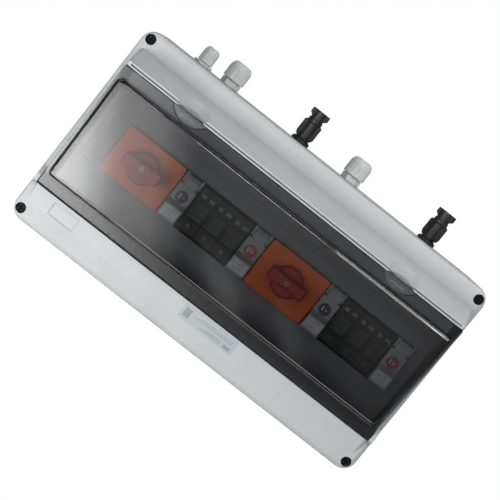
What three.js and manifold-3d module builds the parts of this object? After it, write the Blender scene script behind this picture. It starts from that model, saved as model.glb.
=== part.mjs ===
import * as THREE from 'three';
import { mergeVertices } from 'three/addons/utils/BufferGeometryUtils.js';
import Module from 'manifold-3d';

// Wall-mounted DC combiner box for two solar strings: fuses, surge arresters and isolators on
// one 18-way DIN row behind a hinged door. Millimetres, +Z up, the wall face lies on y = 0 and
// the front faces -Y. Depth d is measured from the wall towards the front, so y = -d.

const wasm = await Module();
wasm.setup();

// ---------- driving dimensions ----------
const fitGap = 0.3; // between pieces that rest on each other
const arcSteps = 2;
const cornerSteps = 4; // finer arcs for the box's own corners
const edgeSteps = 2;
const ballSides = 16;

const box = { width: 363, height: 195, corner: 12.5, wall: 2.5, floor: 3, baseDepth: 50, edge: 4,
  backEdge: 1.5 };
const seam = { gap: 0.5, rimWidth: 5.2, rimHeight: 6, grooveInset: 1, grooveWidth: 2.2, grooveDepth: 2 };
const coverScrew = { insetX: 7.3, insetZ: 8.8, headRadius: 4.4, headHeight: 4, sink: 3, shankRadius: 2,
  tipRadius: 1.2, length: 36, holeClearance: 0.35, postRadius: 6.6, crossArm: 2.7, crossWidth: 1.1,
  crossDepth: 1.8, chamfer: 0.8 };
const cover = { flatDepth: 79, footMargin: 17.9, lipWidth: 5, ledge: 2.5, inlay: 0.5, edge: 2.5,
  grooveWidth: 1.4, grooveDepth: 1.5 };
const door = { sideMargin: 5.5, topMargin: 35.4, bottomMargin: 37, topRise: 3.3, lean: 21.7, thickness: 2.5,
  sideGap: 0.9, topGap: 1.2, corner: 1 };
const pane = { rise: 6, sideInset: 2.3, topInset: 12, bottomInset: 10, corner: 4, edge: 2.7,
  innerEdge: 1.2 };
const hinge = { axisDown: 2.2, axisIn: 2.4, barrelRadius: 2.2, barrelLength: 14, pinRadius: 0.9,
  pinLength: 2.9, holeClearance: 0.3, plateSetback: 1 };
const ear = { width: 3.6, above: 2, rise: 0.3, crown: 6, run: 14 };
const tab = { sideInset: 66.5, reach: 5, halfChord: 14, thickness: 1.8, sink: 0.1, scoopRadius: 15.7,
  scoopDepth: 5, scoopDown: 2 };
const lens = { height: 9.2, halfChord: 17.4, depth: 1.2, rim: 0.8 };
const latch = { width: 14, thickness: 1.6, length: 5, up: 4, clearance: 0.9 };
const mask = { sink: 11, thickness: 2.5, wall: 1.6, sideInset: 4, topInset: 10.1, bottomInset: 11,
  corner: 3, flange: 2, flangeInset: 0.6, hingeClear: 5.2 };
const doorSeal = { width: 1.2, height: 1.05, inset: 2.2, aboveLens: 1.2, groove: 1.4, clearance: 0.3,
  corner: 2, proud: 0.25 };
const slot = { endMargin: 19, height: 46.2, corner: 1 };
const labelChannel = { z: -34.5, height: 4, line: 0.8, depth: 0.5, endInset: 10 };
const labelRecess = { width: 25.2, height: 12.1, sideMargin: 27.6, down: 1.1, depth: 0.35, corner: 0.4 };
const rail = { baseDepth: 16, rise: 7.5, half: 17.5, webHalf: 13, sheet: 1, overhang: 1.5, bossInset: 12,
  bossRadius: 6, bossTipRadius: 4.5, screwRadius: 1.7, screwHead: 3.6, screwHeadHeight: 2.2,
  screwCrown: 2.5, screwLength: 9, slotWidth: 1, slotDepth: 1.2 };
const device = { halfHeight: 42, shoulderSink: 6.5, noseClear: 0.8, noseRise: 1.3, gap: 0.7,
  chamfer: 2, hookReach: 2.5, hookHeight: 0.5, hookGap: 0.4, footRear: 3.5, rearClear: 0.4 };
const terminal = { screwRadius: 2.6, screwDepth: 6, z: 33, entryWidth: 8, entryHeight: 9,
  entryDepth: 3.6, entryD: 46 };
const fuse = { width: 18, bodyWidth: 17.6, cavity: 13.2, cavityDepth: 38, cavityTop: 28.5,
  cheekTopZ: -13.2, cheekSink: 3.8, pivotSink: 2.5, pivotZ: -17, pivotRadius: 1.4, pivotEnd: 0.4,
  noseRadius: 4.9, plateSink: 3.2, plateRise: 2.5, plateBottom: -11.5, plateEdge: 0.6, labelRise: 7.8,
  labelBottom: 8.5, labelSlope: 4, labelEdge: 1, blockBottom: 1.5, blockTop: 2.5, blockSink: 0.4,
  tubeRadius: 5, capRadius: 5.15, capLength: 10, length: 38, tubeSink: 21.1, tubeZ: 1.2 };
const arrester = { width: 54, poles: 3, cartridgeGap: 0.4, pocketDepth: 34, frontRise: 3, step: 1.2,
  stepZ: 8.5, windowRadius: 2.6, windowZ: 14.8, windowDepth: 4, bladeWidth: 5, bladeThick: 1.2,
  bladeLength: 6, bladeZ: 13, bladeClear: 0.5 };
const isolator = { width: 60.8, plateHeight: 45.2, plateDepth: 3.4, plateCorner: 2.5,
  discRadius: 14.6, discHeight: 6, barLength: 36.4, barWidth: 12, barWaist: 9.6, barHeight: 8.6,
  shaftRadius: 4.2, shaftLength: 10, shaftClear: 0.4, capRadius: 2.4, capSink: 1.4 };
const blank = { frontSink: 0.8, groove: 0.8, grooveDepth: 0.8, hookHeight: 1.8, edgeGap: 0.4 };
const entryD = 25; // depth of the row of cable entries in the lower wall
const bigGland = { neckCorner: 9.3, neckHeight: 5.4, threadRadius: 7.8, threadInside: 11,
  threadBelow: 6, bore: 5.2, nutRadius: 10.4, nutLength: 17, mouthRadius: 5, flutes: 8 };
const smallGland = { neckCorner: 9, neckHeight: 2.4, threadRadius: 5.7, threadInside: 9,
  threadBelow: 6, bore: 3.6, nutRadius: 7.2, nutLength: 14.9, mouthRadius: 3.4, flutes: 8 };
const glandNut = { seamGap: 0.5, domeShare: 0.42, fluteRadius: 1.1, fluteDepth: 0.35 };
const locknut = { height: 4, ring: 3.4, clearance: 0.3 };
const glandSeal = { wall: 1 };
const plug = { threadRadius: 6, threadInside: 9, collarRadius: 8.8, collarHeight: 2.6,
  barrelRadius: 6.1, length: 32.7, mouthRadius: 4.3, mouthDepth: 13, wingHalf: 8.7, neckHalf: 5.6,
  headHeight: 6.4, chamfer: 1.6, neckHeight: 3, wingTop: 4.8, wingThick: 7, pinRadius: 1.6,
  pinLength: 10 };
const earth = { x: -40, aboveWall: 28.5, length: 62, height: 8, depth: 7, standoff: 11, footWidth: 9,
  holderThickness: 2, holderMargin: 1.5, endMargin: 2, holes: 5, holeRadius: 1.9 };
const fixing = { insetX: 31.5, insetZ: 27.5, radius: 2.8, bossRadius: 6.5, bossHeight: 4 };
const knockout = { radius: 10, line: 0.9, depth: 0.7, xs: [-60, 60] };
const rib = { thickness: 1.6, height: 3, pitch: 60 };

const entries = [
  { kind: 'plug', name: 'connector_1', x: -116, turn: 0.6 },
  { kind: 'gland', name: 'gland_1', x: -31, size: bigGland },
  { kind: 'plug', name: 'connector_2', x: 24, turn: 0 },
  { kind: 'gland', name: 'gland_2', x: 101.8, size: bigGland },
  { kind: 'gland', name: 'gland_3', x: 130.4, size: smallGland },
];

// ---------- worked-out places ----------
const seamDepth = box.baseDepth + seam.gap;
const footZ = box.height / 2 - cover.footMargin;
const screwX = box.width / 2 - coverScrew.insetX;
const screwZ = box.height / 2 - coverScrew.insetZ;
const corners = [[-1, -1], [1, -1], [1, 1], [-1, 1]];
const doorHalf = box.width / 2 - door.sideMargin;
const doorTopZ = box.height / 2 - door.topMargin;
const doorBottomZ = door.bottomMargin - box.height / 2;
const doorTopDepth = cover.flatDepth + door.topRise;
const doorHeight = doorTopZ - doorBottomZ;
const slopeAngle = Math.atan(door.lean / doorHeight);
const doorLength = Math.hypot(door.lean, doorHeight);
const tabX = doorHalf - tab.sideInset;
const doorUnder = -door.thickness;
const flangeTop = doorUnder - fitGap;
const flangeUnder = flangeTop - mask.flange;
const ledgeTop = flangeUnder - fitGap;
const ledgeUnder = ledgeTop - cover.ledge;
const farFront = 2 * (doorTopDepth + door.lean); // well in front of everything, for cuts
const maskFront = cover.flatDepth - mask.sink;
const maskBack = maskFront - mask.thickness;
const pocket = { half: doorHalf - mask.sideInset, top: doorTopZ - mask.topInset,
  bottom: doorBottomZ + mask.bottomInset };
const slotHalf = box.width / 2 - slot.endMargin;
const railHalfLength = slotHalf + rail.overhang;
const railBossX = railHalfLength - rail.bossInset;
const railFront = rail.baseDepth + rail.rise;
const shoulder = maskFront - device.shoulderSink;
const noseHalf = slot.height / 2 - device.noseClear;
const noseDepth = maskFront + device.noseRise;
const fuseFace = { pivot: maskFront - fuse.pivotSink, back: maskFront - fuse.plateSink,
  plate: maskFront + fuse.plateRise, label: maskFront + fuse.labelRise, tube: maskFront - fuse.tubeSink };
const fixingX = box.width / 2 - fixing.insetX;
const fixingZ = box.height / 2 - fixing.insetZ;
const lowerWall = -box.height / 2;

// The door frame leans with the door: its depth 0 is the outer face of the door's border and
// its z 0 is the door's upper edge.
const doorFrame = new THREE.Matrix4().makeRotationX(-slopeAngle)
  .setPosition(0, -doorTopDepth, doorTopZ);

// ---------- materials ----------
function finish(color, roughness, metalness = 0) {
  return new THREE.MeshStandardMaterial({ color, roughness, metalness });
}
function smokedGlaze() {
  return new THREE.MeshStandardMaterial({ color: 0x3a3d40, roughness: 0.12, transparent: true,
    opacity: 0.6 });
}
const shellGrey = finish(0xd3d5d7, 0.5);
const smoke = smokedGlaze();
const maskGrey = finish(0x55585b, 0.55);
const rubber = finish(0x1b1b1c, 0.85);
const screwBlack = finish(0x151516, 0.5);
const zinc = finish(0xb9bcc0, 0.35, 0.9);
const fuseGrey = finish(0xc9ccc8, 0.5);
const ceramic = finish(0xe6e2d8, 0.4);
const arresterBlack = finish(0x202322, 0.5);
const switchGrey = finish(0x2b2d2f, 0.55);
const orange = finish(0xe06a1a, 0.45);
const red = finish(0xa3161b, 0.4);
const glandWhite = finish(0xe2e3de, 0.5);
const plugBlack = finish(0x19191a, 0.5);
const brass = finish(0xb8964a, 0.35, 0.9);
const blankGrey = finish(0x3b3e41, 0.55);

// ---------- solids ----------
const X = new THREE.Vector3(1, 0, 0);
const Y = new THREE.Vector3(0, 1, 0);
const Z = new THREE.Vector3(0, 0, 1);
const frontward = new THREE.Matrix4().makeBasis(X, Z, Y.clone().negate()); // outline (x, z)
const sideward = new THREE.Matrix4().makeBasis(Y.clone().negate(), Z, X.clone().negate()); // outline (d, z)
const downward = new THREE.Matrix4().makeBasis(X, Y.clone().negate(), Z.clone().negate()); // outline (x, d)

function solid(geometry) {
  geometry.deleteAttribute('normal');
  geometry.deleteAttribute('uv');
  const merged = mergeVertices(geometry, 1e-4);
  const index = merged.index.array;
  const kept = [];
  for (let i = 0; i < index.length; i += 3) {
    const [a, b, c] = [index[i], index[i + 1], index[i + 2]];
    if (a !== b && b !== c && c !== a) kept.push(a, b, c);
  }
  const vertProperties = Float32Array.from(merged.attributes.position.array);
  return new wasm.Manifold(new wasm.Mesh({ numProp: 3, vertProperties, triVerts: Uint32Array.from(kept) }));
}

function toGeometry(body) {
  const mesh = body.getMesh();
  const geometry = new THREE.BufferGeometry();
  geometry.setAttribute('position', new THREE.BufferAttribute(Float32Array.from(mesh.vertProperties), 3));
  geometry.setIndex(new THREE.BufferAttribute(Uint32Array.from(mesh.triVerts), 1));
  geometry.computeVertexNormals();
  return geometry;
}

function extrude(shape, length, orientation, place, { frame, bevel = 0, steps = arcSteps, edges = edgeSteps } = {}) {
  const geometry = new THREE.ExtrudeGeometry(shape, {
    depth: length - 2 * bevel, bevelEnabled: bevel > 0, bevelThickness: bevel, bevelSize: bevel,
    bevelOffset: -bevel, bevelSegments: edges, curveSegments: steps,
  });
  geometry.translate(0, 0, bevel);
  geometry.applyMatrix4(orientation);
  geometry.translate(place.x, place.y, place.z);
  if (frame) geometry.applyMatrix4(frame);
  return solid(geometry);
}
function alongDepth(shape, d0, d1, options) {
  return extrude(shape, d1 - d0, frontward, new THREE.Vector3(0, -d0, 0), options);
}
function alongX(shape, x0, x1, options) {
  return extrude(shape, x1 - x0, sideward, new THREE.Vector3(x1, 0, 0), options);
}
function alongZ(shape, z0, z1, options) {
  return extrude(shape, z1 - z0, downward, new THREE.Vector3(0, 0, z1), options);
}

function polygon(points) {
  return new THREE.Shape(points.map(([a, b]) => new THREE.Vector2(a, b)));
}
function rectangle(a0, a1, b0, b1) {
  return polygon([[a0, b0], [a1, b0], [a1, b1], [a0, b1]]);
}
function roundedBetween(a0, a1, b0, b1, radius) {
  const shape = new THREE.Shape();
  shape.absarc(a1 - radius, b0 + radius, radius, -Math.PI / 2, 0, false);
  shape.absarc(a1 - radius, b1 - radius, radius, 0, Math.PI / 2, false);
  shape.absarc(a0 + radius, b1 - radius, radius, Math.PI / 2, Math.PI, false);
  shape.absarc(a0 + radius, b0 + radius, radius, Math.PI, 1.5 * Math.PI, false);
  shape.closePath();
  return shape;
}
function roundedRect(width, height, radius) {
  return roundedBetween(-width / 2, width / 2, -height / 2, height / 2, radius);
}
function frameOutline(outer, inner) {
  outer.holes.push(inner);
  return outer;
}
function boxOutline(inset) {
  return roundedRect(box.width - 2 * inset, box.height - 2 * inset, box.corner - inset);
}

// Turned solid: the profile is [radius, height] pairs from one end of the axis to the other.
function turned(profile, axis, x, y, z, { frame, sides } = {}) {
  const points = profile.map(([r, h]) => new THREE.Vector2(r, h));
  const widest = Math.max(...profile.map(([r]) => r));
  const geometry = new THREE.LatheGeometry(points, sides ?? 2 * Math.round(4 + 0.45 * widest));
  if (axis === 'depth') geometry.rotateX(Math.PI);
  if (axis === 'z') geometry.rotateX(Math.PI / 2);
  if (axis === 'x') geometry.rotateZ(-Math.PI / 2);
  geometry.translate(x, y, z);
  if (frame) geometry.applyMatrix4(frame);
  return solid(geometry);
}
function rod(radius, h0, h1, axis, x, y, z, options) {
  return turned([[0, h0], [radius, h0], [radius, h1], [0, h1]], axis, x, y, z, options);
}
function pipe(outer, inner, h0, h1, axis, x, y, z, options) {
  return turned([[inner, h0], [outer, h0], [outer, h1], [inner, h1], [inner, h0]], axis, x, y, z, options);
}
function hexagon(corner, h0, h1) {
  const points = Array.from({ length: 6 }, (_, i) => {
    const angle = (i * Math.PI) / 3;
    return [corner * Math.cos(angle), corner * Math.sin(angle)];
  });
  return alongZ(polygon(points), h0, h1);
}

// Moves every edge of a counter-clockwise polygon inwards by the inset.
function insetPolygon(points, inset) {
  const count = points.length;
  const edges = points.map(([a, b], i) => {
    const [c, d] = points[(i + 1) % count];
    const length = Math.hypot(c - a, d - b);
    const normal = [-(d - b) / length, (c - a) / length];
    return { a: a + normal[0] * inset, b: b + normal[1] * inset, u: (c - a) / length, v: (d - b) / length };
  });
  return edges.map((edge, i) => {
    const before = edges[(i + count - 1) % count];
    const cross = before.u * edge.v - before.v * edge.u;
    const t = ((edge.a - before.a) * edge.v - (edge.b - before.b) * edge.u) / cross;
    return [before.a + before.u * t, before.b + before.v * t];
  });
}

function addPart(parent, name, body, material) {
  const mesh = new THREE.Mesh(toGeometry(body), material);
  mesh.name = name;
  parent.add(mesh);
  return mesh;
}

// ---------- base shell ----------
function baseRim() {
  const ring = frameOutline(boxOutline(box.wall / 2), boxOutline(seam.rimWidth));
  return alongDepth(ring, box.baseDepth - seam.rimHeight, box.baseDepth);
}
function sealGroove() {
  const ring = frameOutline(boxOutline(seam.grooveInset), boxOutline(seam.grooveInset + seam.grooveWidth));
  return alongDepth(ring, box.baseDepth - seam.grooveDepth, box.baseDepth + 1);
}
function floorRibs() {
  const halfX = screwX - 2 * coverScrew.postRadius;
  const halfZ = screwZ - 2 * coverScrew.postRadius;
  const half = rib.thickness / 2;
  const top = box.floor + rib.height;
  let ribs = alongDepth(rectangle(-halfX, halfX, -halfZ - half, -halfZ + half), box.floor - 1, top);
  ribs = ribs.add(alongDepth(rectangle(-halfX, halfX, halfZ - half, halfZ + half), box.floor - 1, top));
  for (let x = -2 * rib.pitch; x <= 2 * rib.pitch; x += rib.pitch) {
    ribs = ribs.add(alongDepth(rectangle(x - half, x + half, -halfZ, halfZ), box.floor - 1, top));
  }
  return ribs;
}
function baseBosses() {
  let bosses = null;
  const join = (piece) => { bosses = bosses ? bosses.add(piece) : piece; };
  for (const [sx, sz] of corners) {
    join(rod(coverScrew.postRadius, 1, box.baseDepth, 'depth', sx * screwX, 0, sz * screwZ));
    join(rod(fixing.bossRadius, 1, box.floor + fixing.bossHeight, 'depth', sx * fixingX, 0, sz * fixingZ));
  }
  for (const sx of [-1, 1]) {
    const top = rail.baseDepth - fitGap;
    join(turned([[0, 1], [rail.bossRadius, 1], [rail.bossTipRadius, top], [0, top]],
      'depth', sx * railBossX, 0, 0));
  }
  return bosses;
}
function baseHoles() {
  const screwTip = cover.flatDepth - coverScrew.sink - coverScrew.headHeight - coverScrew.length;
  const screwHole = coverScrew.shankRadius + coverScrew.holeClearance;
  const railHole = rail.screwRadius + fitGap;
  let holes = rod(railHole, box.floor + 1, rail.baseDepth, 'depth', railBossX, 0, 0);
  holes = holes.add(rod(railHole, box.floor + 1, rail.baseDepth, 'depth', -railBossX, 0, 0));
  for (const [sx, sz] of corners) {
    holes = holes.add(rod(screwHole, screwTip - 1, box.baseDepth + 1, 'depth', sx * screwX, 0, sz * screwZ));
    holes = holes.add(rod(fixing.radius, -1, box.floor + 2 * fixing.bossHeight, 'depth',
      sx * fixingX, 0, sz * fixingZ));
  }
  for (const entry of entries) {
    const thread = entry.kind === 'plug' ? plug.threadRadius : entry.size.threadRadius;
    holes = holes.add(rod(thread + fitGap, lowerWall - 1, lowerWall + seam.rimWidth + 1, 'z',
      entry.x, -entryD, 0));
  }
  for (const x of knockout.xs) {
    holes = holes.add(pipe(knockout.radius, knockout.radius - knockout.line, box.height / 2 - knockout.depth,
      box.height / 2 + 1, 'z', x, -entryD, 0));
  }
  return holes;
}
function baseShell() {
  const outer = alongDepth(boxOutline(0), 0, box.baseDepth + box.edge,
    { bevel: box.backEdge, steps: cornerSteps, edges: 1 });
  const trim = alongDepth(rectangle(-box.width, box.width, -box.height, box.height), box.baseDepth,
    2 * box.baseDepth);
  const cavity = alongDepth(boxOutline(box.wall), box.floor, 2 * box.baseDepth);
  return outer.subtract(trim).subtract(cavity).add(baseRim()).add(floorRibs()).add(baseBosses())
    .subtract(sealGroove()).subtract(baseHoles());
}
function seamGasket() {
  const inset = seam.grooveInset + fitGap;
  const ring = frameOutline(boxOutline(inset), boxOutline(inset + seam.grooveWidth - 2 * fitGap));
  return alongDepth(ring, box.baseDepth - seam.grooveDepth + fitGap, box.baseDepth + fitGap / 2);
}

// ---------- front cover ----------
function slopePoint(depth, z) { // a point of the door frame, as [d, z] in the box
  const point = new THREE.Vector3(0, -depth, z).applyMatrix4(doorFrame);
  return [-point.y, point.z];
}
function wedgeOutline() {
  const root = cover.flatDepth - 2 * box.edge;
  const lip = slopePoint(-cover.inlay, -doorLength - cover.lipWidth);
  const brow = slopePoint(-cover.inlay, 0);
  return [[root, -footZ], [cover.flatDepth, -footZ], lip, brow, [cover.flatDepth, footZ], [root, footZ]];
}
// Small ears that carry the hinge pins at both ends of the door's upper edge.
function hingeEars() {
  const { flatDepth, edge } = cover;
  const crown = doorTopDepth + ear.rise;
  const outline = [[flatDepth - edge, doorTopZ - ear.run], [flatDepth, doorTopZ - ear.run],
    [crown, doorTopZ - ear.crown], [crown, doorTopZ], [flatDepth, doorTopZ + ear.above],
    [flatDepth - edge, doorTopZ + ear.above]];
  const start = doorHalf + door.sideGap;
  return alongX(polygon(outline), start, start + ear.width)
    .add(alongX(polygon(outline), -start - ear.width, -start));
}
function coverEnvelope() {
  const skirt = alongDepth(boxOutline(0), seamDepth - box.edge, cover.flatDepth,
    { bevel: box.edge, steps: cornerSteps });
  const trim = alongDepth(rectangle(-box.width, box.width, -box.height, box.height), 0, seamDepth);
  const wedge = alongX(polygon(wedgeOutline()), -doorHalf, doorHalf, { bevel: cover.edge });
  return skirt.subtract(trim).add(wedge).add(hingeEars());
}
function coverCavity() {
  const low = alongDepth(boxOutline(box.wall), seamDepth - 1, cover.flatDepth - box.wall);
  const inner = insetPolygon(wedgeOutline(), box.wall);
  const half = doorHalf - box.wall;
  return low.add(alongX(polygon(inner), -half, half));
}
function screwTubes() {
  let tubes = null;
  for (const [sx, sz] of corners) {
    const tube = rod(coverScrew.postRadius, seamDepth, cover.flatDepth, 'depth', sx * screwX, 0, sz * screwZ);
    tubes = tubes ? tubes.add(tube) : tube;
  }
  return tubes;
}
function screwBores() {
  const seat = cover.flatDepth - coverScrew.sink - coverScrew.headHeight - fitGap;
  const hole = coverScrew.shankRadius + coverScrew.holeClearance;
  const headHole = coverScrew.headRadius + coverScrew.holeClearance;
  let bores = null;
  for (const [sx, sz] of corners) {
    const bore = turned([[0, seamDepth - 1], [hole, seamDepth - 1], [hole, seat], [headHole, seat],
      [headHole, cover.flatDepth + 1], [0, cover.flatDepth + 1]], 'depth', sx * screwX, 0, sz * screwZ);
    bores = bores ? bores.add(bore) : bore;
  }
  return bores;
}
function doorLedge() {
  const low = -doorLength - door.sideGap - box.wall;
  const shape = rectangle(-doorHalf, doorHalf, low, door.topGap + box.wall);
  return alongDepth(shape, ledgeUnder, -cover.inlay, { frame: doorFrame });
}
function doorRecess() {
  const half = doorHalf + door.sideGap;
  const shape = rectangle(-half, half, -doorLength - door.sideGap, door.topGap);
  return alongDepth(shape, ledgeTop, doorTopDepth, { frame: doorFrame });
}
function pocketOutline(grow) {
  return roundedBetween(-pocket.half - grow, pocket.half + grow, pocket.bottom - grow, pocket.top + grow,
    mask.corner + grow);
}
function coverWindow() {
  return alongDepth(pocketOutline(mask.wall + 2 * fitGap), 0, farFront);
}
function hingeSockets() {
  const start = doorHalf + door.sideGap / 2;
  const end = doorHalf + hinge.pinLength + hinge.holeClearance;
  const radius = hinge.pinRadius + hinge.holeClearance;
  const socket = (x0, x1) => rod(radius, x0, x1, 'x', 0, hinge.axisIn, -hinge.axisDown,
    { frame: doorFrame, sides: 12 });
  return socket(start, end).add(socket(-end, -start));
}
function latchOpening(x, clearance, under) {
  const half = latch.width / 2 + clearance;
  const z = -doorLength + latch.up;
  const reach = latch.thickness / 2 + clearance;
  return alongDepth(rectangle(x - half, x + half, z - reach, z + reach), under, 0, { frame: doorFrame });
}
function thumbScoop(x, grow) {
  const ballRadius = (tab.scoopRadius ** 2 + tab.scoopDepth ** 2) / (2 * tab.scoopDepth);
  const [lipD, lipZ] = slopePoint(-cover.inlay, -doorLength - cover.lipWidth);
  const down = new THREE.Vector2(cover.flatDepth - lipD, -footZ - lipZ).normalize();
  const out = new THREE.Vector2(-down.y, down.x);
  const lift = ballRadius - tab.scoopDepth;
  const centreD = lipD + down.x * tab.scoopDown + out.x * lift;
  const centreZ = lipZ + down.y * tab.scoopDown + out.y * lift;
  const ball = new THREE.SphereGeometry(ballRadius + grow, 2 * ballSides, ballSides);
  ball.rotateX(Math.PI / 2);
  ball.translate(x, -centreD, centreZ);
  return solid(ball);
}
// Lens shape of a thumb tab below the door's edge, in the door frame.
function tabOutline(x, grow) {
  const halfChord = tab.halfChord + grow;
  const reach = tab.reach + grow;
  const radius = (halfChord ** 2 + reach ** 2) / (2 * reach);
  const sweep = Math.asin(halfChord / radius);
  const shape = new THREE.Shape();
  shape.absarc(x, -doorLength - reach + radius, radius, -Math.PI / 2 - sweep, -Math.PI / 2 + sweep, false);
  shape.lineTo(x + halfChord, -doorLength + 1);
  shape.lineTo(x - halfChord, -doorLength + 1);
  shape.closePath();
  return shape;
}
function tabNotch(x) {
  const floor = -tab.sink - tab.thickness - door.sideGap;
  return alongDepth(tabOutline(x, door.sideGap), floor, door.thickness, { frame: doorFrame, steps: 8 });
}
function lipGroove() {
  const z = -doorLength - cover.lipWidth / 2 - door.sideGap / 2;
  const half = doorHalf - pane.corner;
  const line = rectangle(-half, half, z - cover.grooveWidth / 2, z + cover.grooveWidth / 2);
  return alongDepth(line, -cover.inlay - cover.grooveDepth, door.thickness, { frame: doorFrame });
}
// Shallow recess for an adhesive label, on the slope above the door.
function labelRecessCut() {
  const [browD, browZ] = slopePoint(-cover.inlay, 0);
  const lean = Math.atan((browD - cover.flatDepth) / (footZ - browZ));
  const slopeFrame = new THREE.Matrix4().makeRotationX(-lean).setPosition(0, -cover.flatDepth, footZ);
  const right = box.width / 2 - labelRecess.sideMargin;
  const shape = roundedBetween(right - labelRecess.width, right, -labelRecess.down - labelRecess.height,
    -labelRecess.down, labelRecess.corner);
  return alongDepth(shape, -labelRecess.depth, box.wall, { frame: slopeFrame, steps: 1 });
}
function coverRim() {
  const ring = frameOutline(boxOutline(box.wall / 2), boxOutline(seam.rimWidth));
  return alongDepth(ring, seamDepth, seamDepth + seam.rimHeight / 2);
}
function frontCover() {
  const envelope = coverEnvelope();
  let body = envelope.subtract(coverCavity());
  body = body.add(screwTubes().add(doorLedge()).add(coverRim()).intersect(envelope));
  for (const x of [-tabX, tabX]) {
    body = body.add(thumbScoop(x, box.wall).intersect(envelope)).subtract(thumbScoop(x, 0));
    body = body.subtract(latchOpening(x, latch.clearance, ledgeUnder - box.wall)).subtract(tabNotch(x));
  }
  return body.subtract(doorRecess()).subtract(coverWindow()).subtract(hingeSockets()).subtract(lipGroove())
    .subtract(labelRecessCut()).subtract(screwBores());
}
function coverScrewBody() {
  const headTop = cover.flatDepth - coverScrew.sink;
  const seat = headTop - coverScrew.headHeight;
  const tip = seat - coverScrew.length;
  const { shankRadius, tipRadius, headRadius, chamfer, crossArm, crossDepth } = coverScrew;
  const body = turned([[0, tip], [tipRadius, tip], [shankRadius, tip + 2], [shankRadius, seat],
    [headRadius, seat], [headRadius, headTop - chamfer], [headRadius - chamfer, headTop], [0, headTop]],
    'depth', 0, 0, 0, { sides: 12 });
  const half = coverScrew.crossWidth / 2;
  const cross = alongDepth(rectangle(-crossArm, crossArm, -half, half), headTop - crossDepth, headTop + 1)
    .add(alongDepth(rectangle(-half, half, -crossArm, crossArm), headTop - crossDepth, headTop + 1));
  return body.subtract(cross);
}

// ---------- mask behind the door ----------
function underDoorFrame(depth) {
  const size = 2 * box.width;
  return alongDepth(rectangle(-size, size, -size, size), -size, depth, { frame: doorFrame });
}
function maskFlange() {
  const half = doorHalf - mask.flangeInset;
  const shape = rectangle(-half, half, -doorLength + fitGap, -mask.hingeClear);
  return alongDepth(shape, flangeUnder, flangeTop, { frame: doorFrame });
}
function doorSealRing(grow, under, top) {
  const half = doorHalf - doorSeal.inset;
  const upper = -mask.hingeClear - doorSeal.inset;
  const lower = -doorLength + lens.height + doorSeal.aboveLens;
  const outer = roundedBetween(-half - grow, half + grow, lower - grow, upper + grow, doorSeal.corner + grow);
  const w = doorSeal.width + grow;
  const inner = roundedBetween(-half + w, half - w, lower + w, upper - w, doorSeal.corner / 2);
  return alongDepth(frameOutline(outer, inner), under, top, { frame: doorFrame });
}
function labelLines() {
  const half = slotHalf - labelChannel.endInset;
  const line = (z) => alongDepth(rectangle(-half, half, z, z + labelChannel.line),
    maskFront - labelChannel.depth, maskFront + 1);
  return line(labelChannel.z).add(line(labelChannel.z - labelChannel.height));
}
// Bay in the mask's flange that lets the cover show under the clear lens of a thumb tab.
function lensOutline(x, grow) {
  const height = lens.height + grow;
  const halfChord = lens.halfChord + grow;
  const radius = (halfChord ** 2 + height ** 2) / (2 * height);
  const sweep = Math.asin(halfChord / radius);
  const shape = new THREE.Shape();
  shape.absarc(x, -doorLength + height - radius, radius, Math.PI / 2 - sweep, Math.PI / 2 + sweep, false);
  shape.lineTo(x - halfChord, -doorLength - 1);
  shape.lineTo(x + halfChord, -doorLength - 1);
  shape.closePath();
  return shape;
}
function deviceMask() {
  let body = alongDepth(pocketOutline(mask.wall), maskBack, farFront).intersect(underDoorFrame(flangeTop));
  body = body.add(maskFlange());
  body = body.subtract(alongDepth(pocketOutline(0), maskFront, farFront + 1));
  const opening = roundedRect(2 * slotHalf, slot.height, slot.corner);
  body = body.subtract(alongDepth(opening, maskBack - 1, maskFront + 1));
  body = body.subtract(labelLines());
  body = body.subtract(doorSealRing(doorSeal.clearance, flangeTop - doorSeal.groove, flangeTop + 1));
  for (const x of [-tabX, tabX]) {
    body = body.subtract(alongDepth(lensOutline(x, 0), flangeUnder - 1, flangeTop + 1,
      { frame: doorFrame, steps: 6 }));
  }
  return body;
}
function doorSealBody() {
  const top = flangeTop - fitGap + doorSeal.proud;
  return doorSealRing(0, top - doorSeal.height, top);
}

// ---------- door (in the door frame) ----------
function thumbTab(x) {
  return alongDepth(tabOutline(x, 0), -tab.sink - tab.thickness, -tab.sink, { steps: 8 });
}
function thumbDish(x) {
  const radius = (lens.halfChord ** 2 + lens.height ** 2) / (2 * lens.height);
  const z = -doorLength + lens.height - radius;
  return turned([[0, -lens.depth], [radius - lens.rim, -lens.depth], [radius, 0], [radius, 1], [0, 1]],
    'depth', x, 0, z, { sides: 32 });
}
function hingeBarrel(side) {
  const run = (radius, near, far) => rod(radius, Math.min(side * near, side * far),
    Math.max(side * near, side * far), 'x', 0, hinge.axisIn, -hinge.axisDown, { sides: 12 });
  return run(hinge.barrelRadius, doorHalf - hinge.barrelLength, doorHalf)
    .add(run(hinge.pinRadius, doorHalf - 1, doorHalf + hinge.pinLength));
}
function latchTongue(x) {
  const z = -doorLength + latch.up;
  const tongue = rectangle(x - latch.width / 2, x + latch.width / 2, z - latch.thickness / 2,
    z + latch.thickness / 2);
  return alongDepth(tongue, doorUnder - latch.length, doorUnder + door.thickness / 5);
}
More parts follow.
